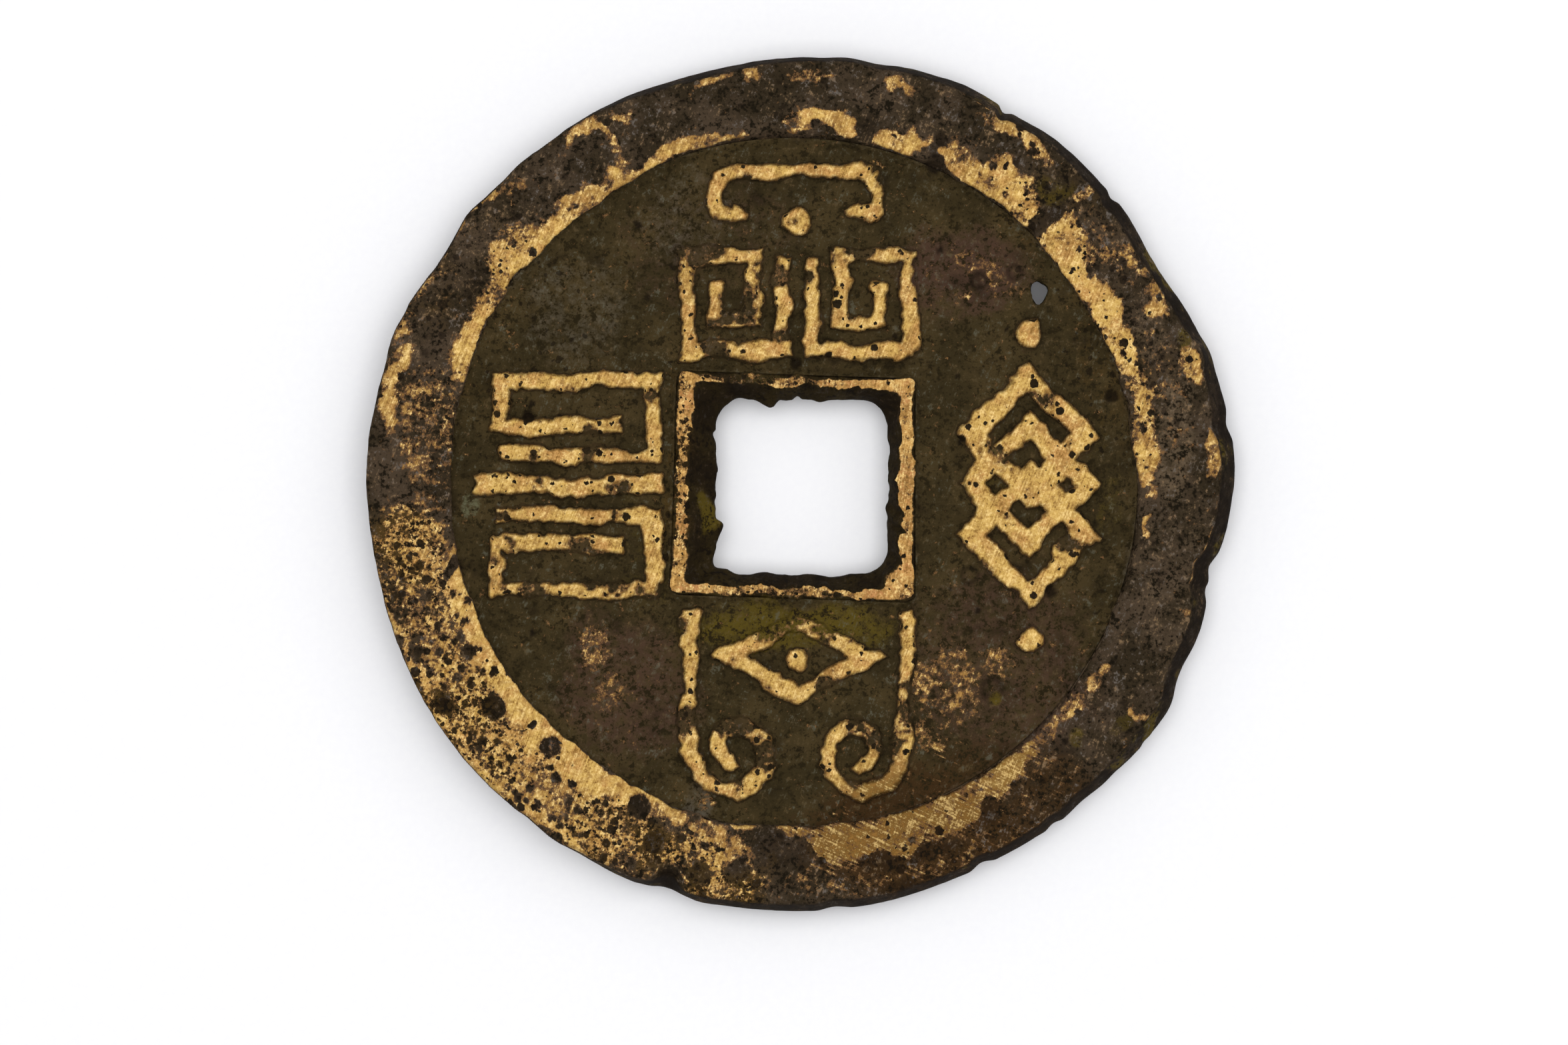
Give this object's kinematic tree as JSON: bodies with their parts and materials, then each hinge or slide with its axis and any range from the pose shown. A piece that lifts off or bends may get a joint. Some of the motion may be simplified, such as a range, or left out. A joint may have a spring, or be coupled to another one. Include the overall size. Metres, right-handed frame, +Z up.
{
  "type": "chinese cash coin",
  "caption": "Round cast brass coin with a wide raised rim, a square central hole in a raised frame, and raised scroll and fret ornament.",
  "frame": {"origin": "middle of the coin, on the surface that its back face lies on", "axes": "+Z up through the coin's thickness, out of its front face; +Y towards the front's upper ornament, +X to its right"},
  "size_m": [0.0383, 0.0378, 0.0026],
  "materials": {
    "worn_rim": "cast brass, toned dark brown, rubbed bright along its inner edge",
    "dark_field": "cast brass under a dark, matte olive-brown patina",
    "rubbed_ornament": "cast brass, rubbed bright on its top faces"
  },
  "bodies": {
    "root": {"outer_rim": "worn_rim", "field_plate": "dark_field", "hole_rim": "worn_rim", "front_top_fret_left": "rubbed_ornament", "front_top_fret_right": "rubbed_ornament", "front_top_cloud": "rubbed_ornament", "front_top_boss": "rubbed_ornament", "front_left_fret_upper": "rubbed_ornament", "front_left_fret_lower": "rubbed_ornament", "front_left_bar": "rubbed_ornament", "front_bottom_scroll_left": "rubbed_ornament", "front_bottom_scroll_right": "rubbed_ornament", "front_bottom_lozenge": "rubbed_ornament", "front_bottom_boss": "rubbed_ornament", "front_right_lozenges": "rubbed_ornament", "front_right_boss_upper": "rubbed_ornament", "front_right_boss_lower": "rubbed_ornament", "back_top_crescent": "rubbed_ornament", "back_top_star": "rubbed_ornament", "back_bottom_crescent": "rubbed_ornament", "back_bottom_star": "rubbed_ornament", "back_left_scroll": "rubbed_ornament", "back_right_scroll": "rubbed_ornament"}
  },
  "joints": []
}
